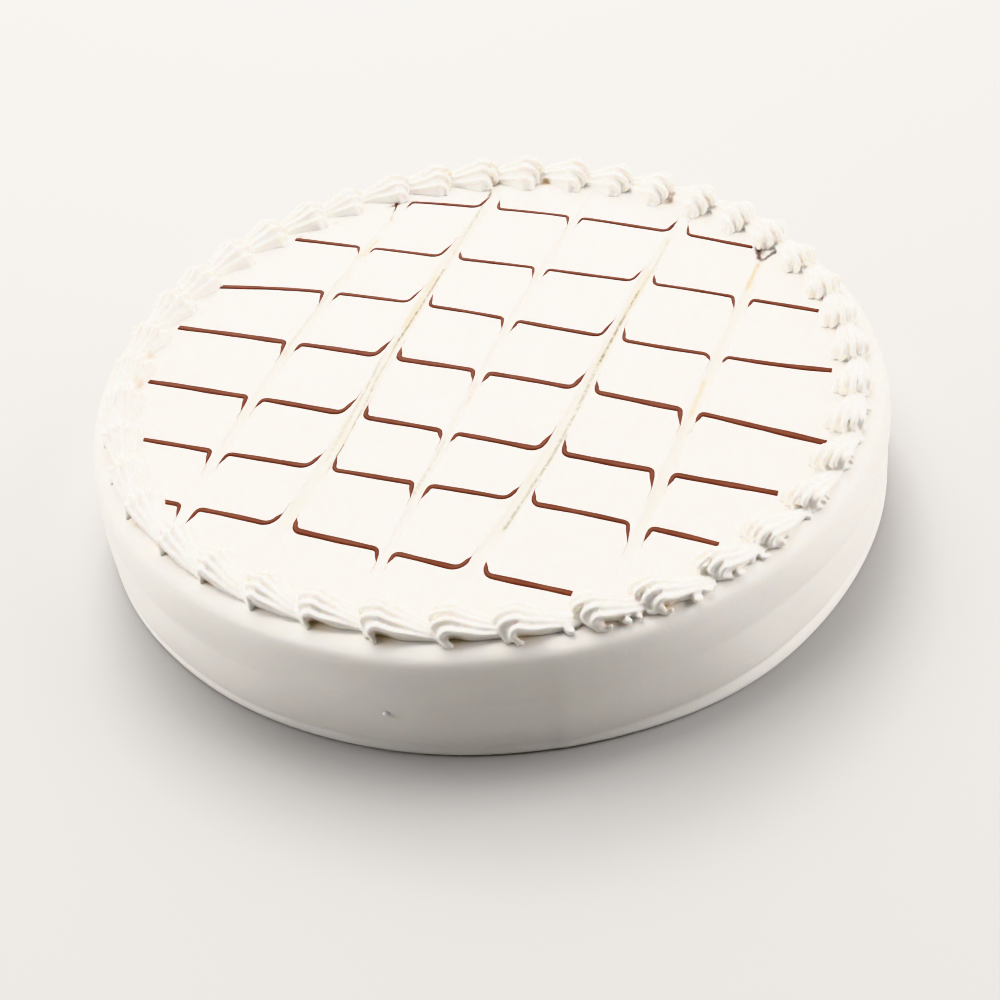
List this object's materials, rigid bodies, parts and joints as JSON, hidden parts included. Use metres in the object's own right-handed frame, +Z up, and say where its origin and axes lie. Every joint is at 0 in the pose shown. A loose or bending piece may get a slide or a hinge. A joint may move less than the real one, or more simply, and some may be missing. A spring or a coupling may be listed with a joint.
{
  "type": "tres leches cake",
  "caption": "Round single-layer tres leches cake, uncut, in smooth white whipped icing with feathered thin chocolate lines on top and a piped star-tip shell border round the rim.",
  "frame": {"origin": "middle of the cake's flat underside", "axes": "+Z up out of the iced top; -Y towards the side that faces the viewer, +X to the viewer's right"},
  "size_m": [0.2535, 0.2535, 0.0418],
  "materials": {
    "cake_icing": "smooth warm white whipped icing with a soft satin sheen; stands in for food",
    "border_icing": "piped warm white whipped icing with a soft satin sheen; stands in for food"
  },
  "bodies": {
    "root": {"iced_cake": "cake_icing", "shell_border": "border_icing"}
  },
  "joints": []
}
